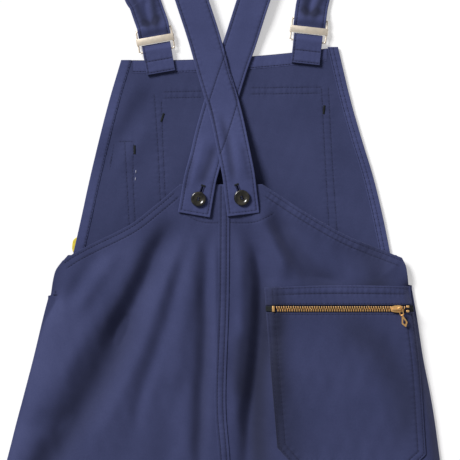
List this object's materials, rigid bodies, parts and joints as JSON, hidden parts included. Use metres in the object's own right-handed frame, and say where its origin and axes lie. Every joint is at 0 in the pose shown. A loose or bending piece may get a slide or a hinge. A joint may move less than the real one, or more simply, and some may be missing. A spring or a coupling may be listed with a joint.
{
  "type": "bib overalls",
  "caption": "Bib-and-brace cotton overalls laid face down, with crossed back straps, slide buckles, buttons and a zipped back pocket.",
  "frame": {"origin": "middle of the front waistband's outer face, on the ground plane that the garment lies on", "axes": "+X towards the wearer's right side, +Y from the hems to the shoulders, +Z from the front of the garment to its back"},
  "size_m": [0.564, 1.5092, 0.0227],
  "materials": {
    "moleskin": "brushed cotton moleskin, matt",
    "lining": "plain cotton, matt",
    "tape": "woven zip tape",
    "thread": "waxed thread",
    "label": "woven ribbon",
    "horn": "mottled horn look, polished",
    "brass": "bright brass",
    "nickel": "brushed nickel"
  },
  "bodies": {
    "garment": {"front_bib": "moleskin", "bib_side_facing_left": "lining", "bib_side_facing_right": "lining", "bib_top_facing": "lining", "chest_pocket": "moleskin", "pen_pocket_left": "moleskin", "pen_pocket_right": "moleskin", "front_waistband": "moleskin", "front_leg_left": "moleskin", "front_leg_right": "moleskin", "hip_pocket_bag_left": "lining", "hip_pocket_bag_right": "lining", "fly_shield": "moleskin", "fly_button_1": "horn", "fly_button_2": "horn", "fly_button_3": "horn", "side_placket_left": "moleskin", "side_button_left_1": "horn", "side_button_left_2": "horn", "side_placket_right": "moleskin", "side_button_right_1": "horn", "side_button_right_2": "horn", "back_leg_left": "moleskin", "back_leg_right": "moleskin", "back_top_facing": "lining", "seat_seam": "moleskin", "outseam_left": "moleskin", "outseam_right": "moleskin", "inseam_left": "moleskin", "inseam_right": "moleskin", "back_pocket_band": "moleskin", "back_pocket_bag": "moleskin", "zip_tape_upper": "tape", "zip_tape_lower": "tape", "zip_teeth_upper": "brass", "zip_teeth_lower": "brass", "zip_bottom_stop": "brass", "zip_top_stop_upper": "brass", "zip_top_stop_lower": "brass", "strap_left": "moleskin", "strap_end_left": "moleskin", "buckle_frame_left": "nickel", "buckle_tab_left": "moleskin", "strap_right": "moleskin", "strap_end_right": "moleskin", "buckle_frame_right": "nickel", "buckle_tab_right": "moleskin", "button_shank_left": "thread", "back_button_left": "horn", "button_shank_right": "thread", "back_button_right": "horn", "side_label": "label"},
    "slider": {"zip_slider": "brass"},
    "link": {"pull_link": "brass"},
    "pull": {"pull_tab": "brass"},
    "plate_left": {"slide_plate_left": "nickel"},
    "plate_right": {"slide_plate_right": "nickel"}
  },
  "joints": [
    {"name": "zip_slide", "type": "slide", "parent": "garment", "child": "slider", "axis": [-1, 0, 0], "range_m": [0, 0.13]},
    {"name": "pull_swing", "type": "hinge", "parent": "slider", "child": "link", "pos_m": [0.1961, -0.0634, 0.0208], "axis": [0, 0, 1], "range_deg": [-35, 40]},
    {"name": "pull_lift", "type": "hinge", "parent": "link", "child": "pull", "pos_m": [0.19844, -0.0706, 0.02014], "axis": [-0.9511, -0.309, 0], "range_deg": [0, 120]},
    {"name": "plate_slide_left", "type": "slide", "parent": "garment", "child": "plate_left", "axis": [-0.1736, 0.9848, 0], "range_m": [-0.0015, 0.0015]},
    {"name": "plate_slide_right", "type": "slide", "parent": "garment", "child": "plate_right", "axis": [0.1097, 0.994, 0], "range_m": [-0.0015, 0.0015]}
  ]
}
